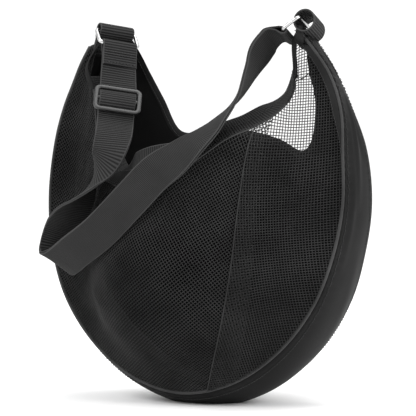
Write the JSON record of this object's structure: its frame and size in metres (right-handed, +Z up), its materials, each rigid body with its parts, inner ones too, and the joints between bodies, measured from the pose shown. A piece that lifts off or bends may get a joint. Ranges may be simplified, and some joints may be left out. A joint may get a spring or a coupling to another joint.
{
  "type": "mesh ball bag",
  "caption": "Crescent-shaped sling bag with a net front, padded gusset and webbing shoulder strap with rings and a slider, shaped to carry a basketball.",
  "frame": {"origin": "middle of the flat patch under the gusset that the bag stands on", "axes": "+X from the left horn to the right horn, -Y the net side, +Z up"},
  "size_m": [0.3557, 0.2475, 0.4085],
  "materials": {
    "net": "open woven polyester net, square holes about 3 mm apart, matt",
    "back_fabric": "plain tight-woven polyester, matt",
    "padded_fabric": "smooth padded stretch fabric with a low sheen",
    "trim": "woven binding tape, matt",
    "piping": "fabric-covered piping cord, satin",
    "webbing": "ribbed polypropylene webbing, cross ribs about 1.3 mm apart",
    "ring_metal": "nickel-plated steel wire, polished",
    "slider_metal": "black lacquered die-cast metal, satin"
  },
  "bodies": {
    "bag": {"left_net_panel": "net", "right_net_panel": "net", "back_panel": "back_fabric", "gusset": "padded_fabric", "front_seam_tape": "trim", "back_seam_tape": "trim", "front_piping": "piping", "back_piping": "piping", "mouth_band": "webbing", "back_mouth_binding": "trim", "left_horn_tab": "trim", "right_horn_tab": "trim", "left_horn_loop": "webbing", "right_horn_loop": "webbing", "strap_outer_run": "webbing"},
    "left_ring": {"left_ring": "ring_metal", "strap_left_end_fold": "webbing", "strap_upper_run": "webbing"},
    "slider": {"slider_frame": "slider_metal", "strap_over_slider_bar": "webbing"},
    "right_ring": {"right_ring": "ring_metal", "strap_right_turn": "webbing", "strap_lower_run": "webbing"}
  },
  "joints": [
    {"name": "left_ring_swing", "type": "hinge", "parent": "bag", "child": "left_ring", "pos_m": [-0.1115, 0.001, 0.377], "axis": [-0.5998, -0.7797, 0.1799], "range_deg": [0, 25]},
    {"name": "slider_slide", "type": "slide", "parent": "left_ring", "child": "slider", "axis": [0.2981, -0.6311, -0.7161], "range_m": [-0.006, 0.014]},
    {"name": "right_ring_swing", "type": "hinge", "parent": "bag", "child": "right_ring", "pos_m": [0.114, -0.001, 0.3925], "axis": [-0.1802, 0.9112, -0.3705], "range_deg": [0, 25]}
  ]
}
